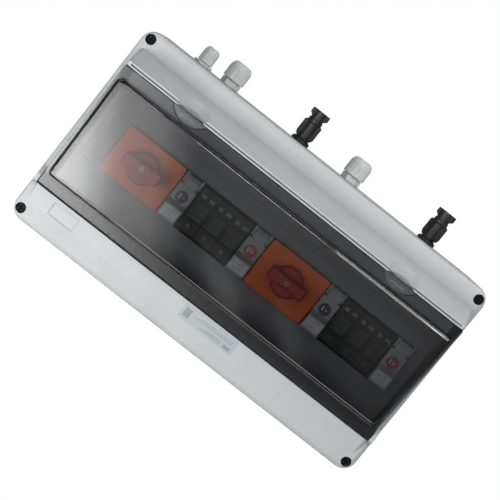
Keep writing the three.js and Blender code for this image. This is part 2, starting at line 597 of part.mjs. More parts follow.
function doorBody() {
  const plateTop = hinge.axisDown - hinge.barrelRadius + hinge.plateSetback;
  const plate = roundedBetween(-doorHalf, doorHalf, -doorLength, -plateTop, door.corner);
  let body = alongDepth(plate, doorUnder, 0);
  const paneHalf = doorHalf - pane.sideInset;
  const shape = (inset) => roundedBetween(-paneHalf + inset, paneHalf - inset,
    -doorLength + pane.bottomInset + inset, -pane.topInset - inset, pane.corner - inset);
  body = body.add(alongDepth(shape(0), doorUnder, pane.rise, { bevel: pane.edge }));
  for (const side of [-1, 1]) {
    const x = side * tabX;
    body = body.add(hingeBarrel(side)).subtract(thumbDish(x)).add(thumbTab(x)).add(latchTongue(x));
  }
  return body.subtract(alongDepth(shape(door.thickness), doorUnder - door.thickness,
    pane.rise - door.thickness, { bevel: pane.innerEdge }));
}

// ---------- DIN rail ----------
function dinRail() {
  const { baseDepth, rise, half, webHalf, sheet } = rail;
  const top = baseDepth + rise;
  const outline = [[baseDepth, -webHalf], [top - sheet, -webHalf], [top - sheet, -half], [top, -half],
    [top, -webHalf + sheet], [baseDepth + sheet, -webHalf + sheet], [baseDepth + sheet, webHalf - sheet],
    [top, webHalf - sheet], [top, half], [top - sheet, half], [top - sheet, webHalf], [baseDepth, webHalf]];
  let body = alongX(polygon(outline), -railHalfLength, railHalfLength);
  for (const side of [-1, 1]) {
    body = body.subtract(rod(rail.screwRadius + fitGap, baseDepth - 1, top, 'depth', side * railBossX, 0, 0));
  }
  return body;
}
function railScrew() {
  const seat = rail.baseDepth + rail.sheet + fitGap;
  const top = seat + rail.screwHeadHeight;
  const tip = seat - rail.screwLength;
  const body = turned([[0, tip], [rail.screwRadius, tip + 1], [rail.screwRadius, seat],
    [rail.screwHead, seat], [rail.screwCrown, top], [0, top]], 'depth', 0, 0, 0, { sides: 10 });
  const half = rail.slotWidth / 2;
  const cut = rectangle(-rail.screwHead - 1, rail.screwHead + 1, -half, half);
  return body.subtract(alongDepth(cut, top - rail.slotDepth, top + 1));
}

// ---------- modular devices (each in its own group, x = 0 at its middle) ----------
// Side outline of a rail-mounted case with hooks behind the rail's lips and a nose in front.
function caseOutline(front) {
  const { halfHeight, chamfer } = device;
  const rear = railFront + device.rearClear;
  const hookFront = railFront - rail.sheet - device.hookGap;
  const hookInner = rail.half - device.hookReach;
  const hookOuter = rail.half + device.hookHeight;
  const footRear = rail.baseDepth + device.footRear;
  const upper = [[rear, hookOuter], [hookFront, hookOuter], [hookFront, hookInner], [footRear, hookInner],
    [footRear, halfHeight - chamfer], [footRear + chamfer, halfHeight], [shoulder - chamfer, halfHeight],
    [shoulder, halfHeight - chamfer], [shoulder, noseHalf], [front, noseHalf]];
  const lower = upper.map(([d, z]) => [d, -z]).reverse();
  return polygon([...lower, ...upper].reverse());
}
function terminals(xs) {
  let cuts = null;
  for (const x of xs) {
    for (const sz of [-1, 1]) {
      const screw = rod(terminal.screwRadius, shoulder - terminal.screwDepth, shoulder + 1, 'depth',
        x, 0, sz * terminal.z, { sides: 8 });
      const edge = sz * device.halfHeight;
      const inner = edge - sz * terminal.entryDepth;
      const entry = alongDepth(rectangle(x - terminal.entryWidth / 2, x + terminal.entryWidth / 2,
        Math.min(inner, edge + sz), Math.max(inner, edge + sz)),
        terminal.entryD - terminal.entryHeight / 2, terminal.entryD + terminal.entryHeight / 2);
      cuts = cuts ? cuts.add(screw).add(entry) : screw.add(entry);
    }
  }
  return cuts;
}

function fuseBody() {
  const half = fuse.bodyWidth / 2;
  const noseEnd = noseHalf + fitGap;
  let body = alongX(caseOutline(noseDepth), -half, half).subtract(terminals([0]));
  const cavity = rectangle(fuse.cavityDepth, 2 * maskFront, -noseEnd, fuse.cavityTop);
  body = body.subtract(alongX(cavity, -fuse.cavity / 2, fuse.cavity / 2));
  const front = rectangle(maskFront - fuse.cheekSink, 2 * maskFront, fuse.cheekTopZ, noseEnd);
  body = body.subtract(alongX(front, -half - 1, half + 1));
  return body.subtract(rod(fuse.pivotRadius + fitGap, -half - 1, half + 1, 'x', 0, -fuseFace.pivot,
    fuse.pivotZ, { sides: 10 }));
}
function carrierFront() {
  const { back, plate, label } = fuseFace;
  const outline = [[back, fuse.plateBottom], [plate - fuse.plateEdge, fuse.plateBottom],
    [plate, fuse.plateBottom + fuse.plateEdge], [plate, fuse.labelBottom - fuse.labelSlope],
    [label, fuse.labelBottom], [label, noseHalf - fuse.labelEdge], [label - fuse.labelEdge, noseHalf],
    [back, noseHalf]];
  return alongX(polygon(outline), -fuse.bodyWidth / 2, fuse.bodyWidth / 2);
}
function carrierInner() {
  const half = fuse.cavity / 2 - fitGap;
  const { pivot, tube } = fuseFace;
  const block = alongX(rectangle(tube - fuse.blockSink, pivot, fuse.pivotZ + fuse.blockBottom,
    noseHalf - fuse.blockTop), -half, half);
  const nose = new THREE.Shape();
  nose.absarc(pivot, fuse.pivotZ, fuse.noseRadius, Math.PI, 2 * Math.PI, false);
  nose.lineTo(pivot + fuse.noseRadius, fuse.plateBottom + fuse.plateEdge);
  nose.lineTo(pivot - fuse.noseRadius, fuse.plateBottom + fuse.plateEdge);
  nose.closePath();
  return block.add(alongX(nose, -half, half));
}
function fuseCarrier() {
  const groove = rod(fuse.capRadius + fitGap, -fuse.length, fuse.length, 'z', 0, -fuseFace.tube, 0,
    { sides: 14 });
  const pivotHalf = fuse.bodyWidth / 2 - fuse.pivotEnd;
  return carrierFront().add(carrierInner()).subtract(groove)
    .add(rod(fuse.pivotRadius, -pivotHalf, pivotHalf, 'x', 0, -fuseFace.pivot, fuse.pivotZ, { sides: 10 }));
}
function fuseLink() {
  const low = fuse.tubeZ - fuse.length / 2;
  const high = fuse.tubeZ + fuse.length / 2;
  return turned([[0, low], [fuse.capRadius, low], [fuse.capRadius, low + fuse.capLength],
    [fuse.tubeRadius, low + fuse.capLength], [fuse.tubeRadius, high - fuse.capLength],
    [fuse.capRadius, high - fuse.capLength], [fuse.capRadius, high], [0, high]],
    'z', 0, -fuseFace.tube, 0, { sides: 12 });
}
function fuseHolder(name) {
  const group = new THREE.Group();
  addPart(group, `${name}_body`, fuseBody(), fuseGrey);
  addPart(group, `${name}_carrier`, fuseCarrier(), fuseGrey);
  addPart(group, `${name}_link`, fuseLink(), ceramic);
  return group;
}

function cartridgePitch() {
  return (arrester.width - 2 * fitGap) / arrester.poles;
}
function poleOffsets() {
  return Array.from({ length: arrester.poles }, (_, i) => (i - (arrester.poles - 1) / 2) * cartridgePitch());
}
function bladeBoxes(x, clear, from, to) {
  const halfX = arrester.bladeWidth / 2 + clear;
  const halfZ = arrester.bladeThick / 2 + clear;
  const blade = (z) => alongDepth(rectangle(x - halfX, x + halfX, z - halfZ, z + halfZ), from, to);
  return blade(arrester.bladeZ).add(blade(-arrester.bladeZ));
}
function arresterBase() {
  const half = arrester.width / 2 - fitGap / 2;
  let body = alongX(caseOutline(noseDepth), -half, half).subtract(terminals(poleOffsets()));
  const bay = rectangle(arrester.pocketDepth, 2 * maskFront, -noseHalf - fitGap, noseHalf + fitGap);
  body = body.subtract(alongX(bay, -half - 1, half + 1));
  for (const x of poleOffsets()) {
    const bottom = arrester.pocketDepth - arrester.bladeLength - 2 * fitGap;
    body = body.subtract(bladeBoxes(x, arrester.bladeClear, bottom, arrester.pocketDepth + 1));
  }
  return body;
}
function cartridge() {
  const rear = arrester.pocketDepth + fitGap;
  const high = noseHalf;
  const front = maskFront + arrester.frontRise;
  const half = (cartridgePitch() - arrester.cartridgeGap) / 2;
  const outline = [[rear, -high], [front - 5, -high], [front - 4, -high + 1], [front - 0.6, -high + 1.6],
    [front, -high + 2.2], [front, arrester.stepZ], [front - arrester.step, arrester.stepZ + 1],
    [front - arrester.step, high - 2.2], [front - arrester.step - 0.6, high - 1.6], [front - 4, high - 1],
    [front - 5, high], [rear, high]];
  const boss = rod(arrester.windowRadius, front - arrester.windowDepth, front, 'depth', 0, 0, arrester.windowZ,
    { sides: 14 });
  const blades = bladeBoxes(0, 0, rear - arrester.bladeLength, rear + 1);
  return alongX(polygon(outline), -half, half).add(boss).add(blades);
}
function surgeArrester(name) {
  const group = new THREE.Group();
  addPart(group, `${name}_base`, arresterBase(), arresterBlack);
  poleOffsets().forEach((x, i) => {
    const mesh = addPart(group, `${name}_cartridge_${i + 1}`, cartridge(), arresterBlack);
    mesh.position.x = x;
  });
  return group;
}

function isolatorBody() {
  const half = isolator.width / 2 - 0.2;
  const bore = isolator.shaftRadius + isolator.shaftClear;
  const third = isolator.width / 4;
  return alongX(caseOutline(noseDepth), -half, half).subtract(terminals([-third, 0, third]))
    .subtract(rod(bore, noseDepth - isolator.shaftLength, noseDepth + 1, 'depth', 0, 0, 0));
}
function isolatorPlate() {
  const back = noseDepth + fitGap;
  const shape = roundedRect(isolator.width - 0.4, isolator.plateHeight, isolator.plateCorner);
  const bore = isolator.shaftRadius + isolator.shaftClear;
  return alongDepth(shape, back, back + isolator.plateDepth, { bevel: 0.6, edges: 1 })
    .subtract(rod(bore, back - 1, back + 2 * isolator.plateDepth, 'depth', 0, 0, 0));
}
function gripOutline() {
  const end = isolator.barLength / 2;
  const wide = isolator.barWidth / 2;
  const waist = isolator.barWaist / 2;
  const shape = new THREE.Shape();
  shape.moveTo(-end + 2, -wide);
  shape.quadraticCurveTo(0, -2 * waist + wide, end - 2, -wide);
  shape.quadraticCurveTo(end, -wide, end, -wide + 2.5);
  shape.lineTo(end, wide - 2.5);
  shape.quadraticCurveTo(end, wide, end - 2, wide);
  shape.quadraticCurveTo(0, 2 * waist - wide, -end + 2, wide);
  shape.quadraticCurveTo(-end, wide, -end, wide - 2.5);
  shape.lineTo(-end, -wide + 2.5);
  shape.quadraticCurveTo(-end, -wide, -end + 2, -wide);
  return shape;
}
function isolatorHandle() {
  const low = noseDepth + isolator.plateDepth + 2 * fitGap;
  const mid = low + isolator.discHeight;
  const top = mid + isolator.barHeight;
  const r = isolator.discRadius;
  const disc = turned([[0, low], [r - 0.6, low], [r, low + 1], [r - 0.6, mid - 1.8], [r - 2.4, mid], [0, mid]],
    'depth', 0, 0, 0, { sides: 28 });
  const grip = alongDepth(gripOutline(), low + 1.2, top, { bevel: 1.4, edges: 1 });
  const shaft = rod(isolator.shaftRadius, low - isolator.shaftLength, low + 1, 'depth', 0, 0, 0);
  const capWell = rod(isolator.capRadius, top - isolator.capSink, top + 1, 'depth', 0, 0, 0, { sides: 16 });
  return disc.add(grip).add(shaft).subtract(capWell);
}
function rotaryIsolator(name) {
  const group = new THREE.Group();
  addPart(group, `${name}_body`, isolatorBody(), switchGrey);
  addPart(group, `${name}_plate`, isolatorPlate(), orange);
  addPart(group, `${name}_handle`, isolatorHandle(), red);
  return group;
}

// Strip that closes the free end of the slot: a ribbed face with hooks behind the mask.
function blankingStrip(x0, x1) {
  const half = slot.height / 2 - blank.edgeGap;
  const hook = half + blank.hookHeight;
  const front = maskFront - blank.frontSink;
  const rear = maskBack - fitGap;
  let body = alongDepth(rectangle(x0, x1, -half, half), rear - 1, front);
  body = body.add(alongDepth(rectangle(x0, x1, -hook, hook), rear - 2, rear));
  const middle = (x0 + x1) / 2;
  const line = rectangle(middle - blank.groove / 2, middle + blank.groove / 2, -half - 1, half + 1);
  return body.subtract(alongDepth(line, front - blank.grooveDepth, front + 1));
}

// ---------- device row ----------
const deviceRow = [
  { name: 'fuse_plus_1', width: fuse.width, make: fuseHolder },
  { name: 'arrester_1', width: arrester.width, make: surgeArrester },
  { name: 'fuse_minus_1', width: fuse.width, make: fuseHolder },
  { name: 'isolator_1', width: isolator.width, make: rotaryIsolator },
  { name: 'fuse_plus_2', width: fuse.width, make: fuseHolder },
  { name: 'arrester_2', width: arrester.width, make: surgeArrester },
  { name: 'fuse_minus_2', width: fuse.width, make: fuseHolder },
  { name: 'isolator_2', width: isolator.width, make: rotaryIsolator },
];
function addDeviceRow(parent) {
  let x = -slotHalf + device.gap;
  for (const entry of deviceRow) {
    const group = entry.make(entry.name);
    group.position.x = x + entry.width / 2;
    parent.add(group);
    x += entry.width + device.gap;
  }
  addPart(parent, 'blanking_strip', blankingStrip(x, slotHalf - device.gap), blankGrey);
}

// ---------- cable glands and connectors (wall's outer face at z = 0, outside is -Z) ----------
function glandBody(size) {
  const inside = box.wall + size.threadInside;
  const neck = hexagon(size.neckCorner, -size.neckHeight, -fitGap);
  const thread = rod(size.threadRadius, -size.neckHeight - size.threadBelow, inside, 'z', 0, 0, 0);
  const bore = rod(size.bore, -size.neckHeight - size.threadBelow - 1, inside + 1, 'z', 0, 0, 0);
  return neck.add(thread).subtract(bore);
}
function nutProfile(radius, length, mouth) {
  const domeStart = length * (1 - glandNut.domeShare);
  const steps = 4;
  const profile = [[0, 0], [radius - 0.5, 0], [radius, -0.5], [radius, -domeStart]];
  for (let i = 1; i <= steps; i += 1) {
    const angle = (i / steps) * (Math.PI / 2);
    const r = mouth + (radius - mouth) * Math.cos(angle) ** 0.8;
    profile.push([r, -domeStart - (length - domeStart) * Math.sin(angle)]);
  }
  profile.push([0, -length]);
  return profile.reverse();
}
function glandDomeNut(size) {
  const top = -size.neckHeight - glandNut.seamGap;
  const body = turned(nutProfile(size.nutRadius, size.nutLength, size.mouthRadius), 'z', 0, 0, top);
  const innerRadius = size.threadRadius + fitGap;
  const domeStart = size.nutLength * (1 - glandNut.domeShare);
  const bore = turned([[0, -size.nutLength - 1], [size.mouthRadius - 0.4, -size.nutLength - 1],
    [size.mouthRadius - 0.4, -size.nutLength + 2], [innerRadius, -domeStart - 1], [innerRadius, 1], [0, 1]],
    'z', 0, 0, top);
  let nut = body.subtract(bore);
  for (let i = 0; i < size.flutes; i += 1) {
    const angle = (i * 2 * Math.PI) / size.flutes;
    const reach = size.nutRadius + glandNut.fluteRadius - glandNut.fluteDepth;
    nut = nut.subtract(rod(glandNut.fluteRadius, top - domeStart, top + 1, 'z',
      reach * Math.cos(angle), reach * Math.sin(angle), 0, { sides: 6 }));
  }
  return nut;
}
function glandSealBody(size) {
  const top = -size.neckHeight - size.threadBelow - fitGap;
  const outer = Math.min(size.mouthRadius - 0.8, size.bore);
  const low = -size.neckHeight - glandNut.seamGap - size.nutLength + 1.5;
  const collar = size.threadRadius - 0.6;
  return turned([[outer - glandSeal.wall, low], [outer, low], [outer, top - 4], [collar, top - 1.5],
    [collar, top], [outer - glandSeal.wall, top], [outer - glandSeal.wall, low]], 'z', 0, 0, 0, { sides: 12 });
}
function locknutBody(threadRadius) {
  const low = box.wall + fitGap;
  const hole = rod(threadRadius + locknut.clearance, low - 1, low + locknut.height + 1, 'z', 0, 0, 0);
  return hexagon(threadRadius + locknut.ring, low, low + locknut.height).subtract(hole);
}
function plugWings() {
  const { length, headHeight, chamfer, neckHeight, wingHalf, neckHalf, wingTop } = plug;
  const head = -length + headHeight;
  const half = [[wingHalf - 0.6, -length], [wingHalf, -length + 0.6], [wingHalf, head - chamfer],
    [neckHalf, head + chamfer / 2], [neckHalf, head + chamfer / 2 + neckHeight],
    [wingHalf, head + neckHeight + 2 * chamfer], [wingHalf, -wingTop - 3], [wingHalf - 1.6, -wingTop]];
  const outline = [...half, ...half.map(([x, z]) => [-x, z]).reverse()];
  return alongDepth(polygon(outline), -plug.wingThick / 2, plug.wingThick / 2, { bevel: 0.8, edges: 1 });
}
function plugHousing() {
  const r = plug.barrelRadius;
  const rib = 0.7;
  const profile = [[0, -plug.length], [r, -plug.length], [r, -plug.length + 8], [r + rib, -plug.length + 9],
    [r + rib, -plug.length + 12], [r, -plug.length + 13], [r, -plug.collarHeight - 2],
    [plug.collarRadius, -plug.collarHeight], [plug.collarRadius, -fitGap], [plug.threadRadius, -fitGap],
    [plug.threadRadius, box.wall + plug.threadInside], [0, box.wall + plug.threadInside]];
  const mouth = rod(plug.mouthRadius, -plug.length - 1, -plug.length + plug.mouthDepth, 'z', 0, 0, 0);
  const rear = rod(plug.mouthRadius - 1, plug.collarHeight, box.wall + plug.threadInside + 1, 'z', 0, 0, 0);
  return turned(profile, 'z', 0, 0, 0).add(plugWings()).subtract(mouth).subtract(rear)
    .add(rod(plug.pinRadius, -plug.length + plug.mouthDepth - plug.pinLength, -plug.length + plug.mouthDepth + 1,
      'z', 0, 0, 0, { sides: 12 }));
}
function addEntries(parent) {
  for (const entry of entries) {
    const group = new THREE.Group();
    group.position.set(entry.x, -entryD, lowerWall);
    parent.add(group);
    if (entry.kind === 'plug') {
      group.rotation.z = entry.turn;
      addPart(group, `${entry.name}_housing`, plugHousing(), plugBlack);
      addPart(group, `${entry.name}_locknut`, locknutBody(plug.threadRadius), plugBlack);
    } else {
      addPart(group, `${entry.name}_body`, glandBody(entry.size), glandWhite);
      addPart(group, `${entry.name}_dome_nut`, glandDomeNut(entry.size), glandWhite);
      addPart(group, `${entry.name}_seal`, glandSealBody(entry.size), rubber);
      addPart(group, `${entry.name}_locknut`, locknutBody(entry.size.threadRadius), glandWhite);
    }
  }
}

// ---------- earth bar ----------
function earthHolder() {
  const low = box.floor + fitGap;
  const top = low + earth.standoff;
  const half = earth.length / 2;
  const highZ = earth.height / 2 + earth.holderMargin;
  let body = alongDepth(rectangle(-half, half, -highZ, highZ), top - earth.holderThickness, top);
  for (const side of [-1, 1]) {
    const outer = side * half;
    const inner = side * (half - earth.footWidth);
    body = body.add(alongDepth(rectangle(Math.min(outer, inner), Math.max(outer, inner), -highZ, highZ),
      low, top));
  }
  return body;
}
function earthBar() {
  const low = box.floor + earth.standoff + 2 * fitGap;
  const half = earth.length / 2 - earth.endMargin;
  let body = alongDepth(rectangle(-half, half, -earth.height / 2, earth.height / 2), low, low + earth.depth);
  for (let i = 0; i < earth.holes; i += 1) {
    const x = ((i + 0.5) / earth.holes - 0.5) * 2 * half;
    body = body.subtract(rod(earth.holeRadius, low + earth.depth / 2, low + earth.depth + 1, 'depth',
      x, 0, 0, { sides: 8 }));
  }
  return body;
}

// ---------- assembly ----------
const combinerBox = new THREE.Group();
addPart(combinerBox, 'base_shell', baseShell(), shellGrey);
addPart(combinerBox, 'seam_gasket', seamGasket(), rubber);
addPart(combinerBox, 'front_cover', frontCover(), shellGrey);
corners.forEach(([sx, sz], i) => {
  const mesh = addPart(combinerBox, `cover_screw_${i + 1}`, coverScrewBody(), screwBlack);
  mesh.position.set(sx * screwX, 0, sz * screwZ);
});
addPart(combinerBox, 'device_mask', deviceMask(), maskGrey);
addPart(combinerBox, 'door_seal', doorSealBody(), rubber);

const doorGroup = new THREE.Group();
doorGroup.position.set(0, -doorTopDepth, doorTopZ);
doorGroup.rotation.x = -slopeAngle;
addPart(doorGroup, 'door', doorBody(), smoke);
combinerBox.add(doorGroup);

addPart(combinerBox, 'din_rail', dinRail(), zinc);
[-1, 1].forEach((side, i) => {
  const mesh = addPart(combinerBox, `rail_screw_${i + 1}`, railScrew(), zinc);
  mesh.position.x = side * railBossX;
});
addDeviceRow(combinerBox);
addEntries(combinerBox);

const earthGroup = new THREE.Group();
earthGroup.position.set(earth.x, 0, lowerWall + earth.aboveWall);
addPart(earthGroup, 'earth_bar_holder', earthHolder(), fuseGrey);
addPart(earthGroup, 'earth_bar', earthBar(), brass);
combinerBox.add(earthGroup);

export default combinerBox;
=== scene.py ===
import math

import bmesh
import bpy
from mathutils import Matrix, Vector


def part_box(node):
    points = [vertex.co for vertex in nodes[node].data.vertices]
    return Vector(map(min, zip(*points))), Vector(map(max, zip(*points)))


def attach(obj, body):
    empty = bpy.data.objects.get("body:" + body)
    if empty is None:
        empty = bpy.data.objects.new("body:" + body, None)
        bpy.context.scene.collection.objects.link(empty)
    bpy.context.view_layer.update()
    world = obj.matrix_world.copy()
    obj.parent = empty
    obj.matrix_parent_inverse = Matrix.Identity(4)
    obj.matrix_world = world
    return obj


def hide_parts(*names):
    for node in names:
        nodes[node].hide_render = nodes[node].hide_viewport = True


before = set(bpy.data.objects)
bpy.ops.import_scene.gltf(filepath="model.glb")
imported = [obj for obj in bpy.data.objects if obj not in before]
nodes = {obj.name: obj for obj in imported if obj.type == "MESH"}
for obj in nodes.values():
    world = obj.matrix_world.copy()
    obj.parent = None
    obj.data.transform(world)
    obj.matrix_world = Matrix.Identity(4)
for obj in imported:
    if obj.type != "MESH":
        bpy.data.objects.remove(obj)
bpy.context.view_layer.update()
print("frame loaded,", len(nodes), "CAD nodes")


# a node with its settings, for every material and the sky
def addNode(tree, kind, **settings):
    node = tree.nodes.new(kind)
    for key, value in settings.items():
        setattr(node, key, value)
    return node


# the camera stands low in front of the box and is rolled over, so the box lies diagonally
camera = {
    "place": (0.0667, -1.2716, -0.1148),
    "aim": (0.0019, -0.0787, -0.0025),
    "right": (-0.7843, 0.0157, -0.6201),
    "lens": 103.3,
    "sensor": 36,
    "farthest": 40,
}


def addCamera(view):
    place, aim = Vector(view["place"]), Vector(view["aim"])
    back = (place - aim).normalized()
    right = Vector(view["right"])
    right = (right - right.dot(back) * back).normalized()
    up = back.cross(right)
    data = bpy.data.cameras.new("camera")
    data.lens = view["lens"]
    data.sensor_width = view["sensor"]
    data.clip_end = view["farthest"]
    cam = bpy.data.objects.new("camera", data)
    cam.matrix_world = Matrix.Translation(place) @ Matrix((right, up, back)).transposed().to_4x4()
    bpy.context.scene.collection.objects.link(cam)
    bpy.context.scene.camera = cam


addCamera(camera)
bpy.context.scene.view_settings.view_transform = "Standard"

studio = {
    "floorDown": 1.5,      # below the middle of the box
    "floorForward": 0.05,
    "floorRadius": 2.6,
    "floorSides": 96,
    "floorColor": (0.82, 0.82, 0.81),   # what lights the box from below
    "floorRoughness": 0.8,
    "floorSeen": (0.90, 0.90, 0.90),    # what the camera sees
    "skyColor": (0.93, 0.95, 1.0),
    "skyStrength": 0.22,
    "skySeen": (1, 1, 1),               # what the camera sees
    # name, place, aim, size, power, seen in gloss
    "softboxes": [
        ("keyBox", (0.55, -0.66, 0.36), (0, -0.08, 0), 0.35, 4.7, True),
        ("fillBox", (-0.23, -0.55, -0.33), (0, -0.08, -0.04), 0.3, 1.35, True),
        ("lowBox", (0.08, -0.70, -0.98), (0, -0.08, 0), 0.5, 2.4, True),
        ("topBox", (-0.1, -0.30, 0.95), (0, -0.08, 0), 0.5, 0.6, True),
        ("backBox", (-0.5, 1.3, 0.6), (0, 0, 0), 0.8, 9, False),
    ],
}


def addSoftbox(name, place, aim, size, power, inGloss):
    data = bpy.data.lights.new(name, "AREA")
    data.shape = "SQUARE"
    data.size = size
    data.energy = power
    lamp = bpy.data.objects.new(name, data)
    lamp.location = place
    lamp.rotation_mode = "QUATERNION"
    lamp.rotation_quaternion = (Vector(aim) - Vector(place)).to_track_quat("-Z", "Y")
    lamp.visible_glossy = inGloss
    bpy.context.scene.collection.objects.link(lamp)


def addSky(look):
    world = bpy.data.worlds.new("studioSky")
    bpy.context.scene.world = world
    world.use_nodes = True
    tree = world.node_tree
    tree.nodes.clear()
    out = addNode(tree, "ShaderNodeOutputWorld")
    mix = addNode(tree, "ShaderNodeMixShader")
    path = addNode(tree, "ShaderNodeLightPath")
    dim = addNode(tree, "ShaderNodeBackground")
    white = addNode(tree, "ShaderNodeBackground")
    dim.inputs["Color"].default_value = (*look["skyColor"], 1)
    dim.inputs["Strength"].default_value = look["skyStrength"]
    white.inputs["Color"].default_value = (*look["skySeen"], 1)
    tree.links.new(path.outputs["Is Camera Ray"], mix.inputs["Fac"])
    tree.links.new(dim.outputs["Background"], mix.inputs[1])
    tree.links.new(white.outputs["Background"], mix.inputs[2])
    tree.links.new(mix.outputs["Shader"], out.inputs["Surface"])


def addFloor(look):
    mesh = bpy.data.meshes.new("floor")
    shape = bmesh.new()
    bmesh.ops.create_circle(shape, cap_ends=True, segments=look["floorSides"], radius=look["floorRadius"])
    shape.to_mesh(mesh)
    shape.free()
    floor = bpy.data.objects.new("floor", mesh)
    floor.location = (0, -look["floorForward"], -look["floorDown"])
    bpy.context.scene.collection.objects.link(floor)
    material = bpy.data.materials.new("floorPale")
    material.use_nodes = True
    tree = material.node_tree
    shader = tree.nodes["Principled BSDF"]
    shader.inputs["Base Color"].default_value = (*look["floorColor"], 1)
    shader.inputs["Roughness"].default_value = look["floorRoughness"]
    path = addNode(tree, "ShaderNodeLightPath")
    pale = addNode(tree, "ShaderNodeEmission")
    pale.inputs["Color"].default_value = (*look["floorSeen"], 1)
    mix = addNode(tree, "ShaderNodeMixShader")
    tree.links.new(path.outputs["Is Camera Ray"], mix.inputs["Fac"])
    tree.links.new(shader.outputs["BSDF"], mix.inputs[1])
    tree.links.new(pale.outputs["Emission"], mix.inputs[2])
    tree.links.new(mix.outputs["Shader"], tree.nodes["Material Output"].inputs["Surface"])
    mesh.materials.append(material)


addSky(studio)
addFloor(studio)
for softbox in studio["softboxes"]:
    addSoftbox(*softbox)

# a large striped card, seen in gloss only: it makes the soft diagonal reflections in the door
card = {
    "place": (0, -2.4, 1.0),
    "width": 3.2,
    "height": 2.4,
    "strength": 10.5,
    # shift along X for each metre up, X of the first and last stop, stops, heights between which it fades in
    "bands": (
        (0.5, (-0.7, 0.7), ((0, 0.016), (0.143, 0.012), (0.236, 0.002), (0.357, 0.003), (0.42, 0.006),
                            (0.48, 0.010), (0.536, 0.008), (0.579, 0.002), (0.62, 0.06), (0.664, 0.15),
                            (0.714, 0.20), (0.743, 0.25), (0.786, 0.5), (0.829, 0.83), (0.871, 1)), None),
        (1.04, (-0.3, 0.3), ((0.167, 0), (0.267, 0.028), (0.317, 0.028), (0.367, 0), (0.533, 0),
                             (0.617, 0.05), (0.70, 0.045), (0.783, 0)), (0.13, 0.22)),
        (0, (-0.8, 0.6), ((0, 0.006), (0.42, 0.042), (0.75, 0.036), (1, 0.05)), (0.12, -0.10)),
    ),
}


def bandRamp(tree, coord, lean, span, stops):
    along = addNode(tree, "ShaderNodeVectorMath", operation="DOT_PRODUCT")
    along.inputs[1].default_value = (1, 0, lean)
    reach = addNode(tree, "ShaderNodeMapRange")
    reach.inputs["From Min"].default_value, reach.inputs["From Max"].default_value = span
    ramp = addNode(tree, "ShaderNodeValToRGB")
    ramp.color_ramp.interpolation = "EASE"
    while len(ramp.color_ramp.elements) < len(stops):
        ramp.color_ramp.elements.new(0.5)
    for stop, (position, level) in zip(ramp.color_ramp.elements, stops):
        stop.position = position
        stop.color = (level, level, level, 1)
    tree.links.new(coord, along.inputs[0])
    tree.links.new(along.outputs["Value"], reach.inputs["Value"])
    tree.links.new(reach.outputs["Result"], ramp.inputs["Fac"])
    return ramp.outputs["Color"]


def sumBand(tree, coord, level, band, heights):
    if heights is None:
        return band
    split = addNode(tree, "ShaderNodeSeparateXYZ")
    fade = addNode(tree, "ShaderNodeMapRange")
    fade.inputs["From Min"].default_value, fade.inputs["From Max"].default_value = heights
    total = addNode(tree, "ShaderNodeMath", operation="MULTIPLY_ADD")
    tree.links.new(coord, split.inputs[0])
    tree.links.new(split.outputs["Z"], fade.inputs["Value"])
    tree.links.new(band, total.inputs[0])
    tree.links.new(fade.outputs["Result"], total.inputs[1])
    tree.links.new(level, total.inputs[2])
    return total.outputs[0]


def addReflectionCard(look):
    mesh = bpy.data.meshes.new("reflectionCard")
    shape = bmesh.new()
    bmesh.ops.create_grid(shape, x_segments=1, y_segments=1, size=0.5)
    bmesh.ops.scale(shape, vec=(look["width"], look["height"], 1), verts=shape.verts)
    bmesh.ops.rotate(shape, matrix=Matrix.Rotation(math.radians(90), 3, "X"), verts=shape.verts)
    shape.to_mesh(mesh)
    shape.free()
    panel = bpy.data.objects.new("reflectionCard", mesh)
    panel.location = look["place"]
    panel.visible_camera = False
    panel.visible_diffuse = False
    panel.visible_shadow = False
    panel.visible_transmission = False
    bpy.context.scene.collection.objects.link(panel)
    material = bpy.data.materials.new("cardGlow")
    material.use_nodes = True
    tree = material.node_tree
    tree.nodes.clear()
    out = addNode(tree, "ShaderNodeOutputMaterial")
    glow = addNode(tree, "ShaderNodeEmission")
    coord = addNode(tree, "ShaderNodeTexCoord").outputs["Object"]
    glow.inputs["Strength"].default_value = look["strength"]
    level = None
    for lean, span, stops, heights in look["bands"]:
        band = bandRamp(tree, coord, lean, span, stops)
        level = sumBand(tree, coord, level, band, heights)
    tree.links.new(level, glow.inputs["Color"])
    tree.links.new(glow.outputs["Emission"], out.inputs["Surface"])
    mesh.materials.append(material)


addReflectionCard(card)
print("studio ready")


# helpers for surface textures
def noiseOf(tree, size, detail=3, rough=0.5):
    coord = addNode(tree, "ShaderNodeTexCoord")
    noise = addNode(tree, "ShaderNodeTexNoise")
    noise.inputs["Scale"].default_value = 1 / size
    noise.inputs["Detail"].default_value = detail
    noise.inputs["Roughness"].default_value = rough
    tree.links.new(coord.outputs["Object"], noise.inputs["Vector"])
    return noise.outputs["Fac"]


def spread(tree, value, low, high, fromLow=0.3, fromHigh=0.7):
    ranged = addNode(tree, "ShaderNodeMapRange")
    ranged.inputs["From Min"].default_value = fromLow
    ranged.inputs["From Max"].default_value = fromHigh
    ranged.inputs["To Min"].default_value = low
    ranged.inputs["To Max"].default_value = high
    tree.links.new(value, ranged.inputs["Value"])
    return ranged.outputs["Result"]


def blendColors(tree, factor, first, second):
    mix = addNode(tree, "ShaderNodeMix", data_type="RGBA")
    mix.inputs[6].default_value = (*first, 1)
    mix.inputs[7].default_value = (*second, 1)
    tree.links.new(factor, mix.inputs[0])
    return mix.outputs[2]


def softEdges(tree, radius):
    bevel = addNode(tree, "ShaderNodeBevel", samples=4)
    bevel.inputs["Radius"].default_value = radius
    return bevel.outputs["Normal"]


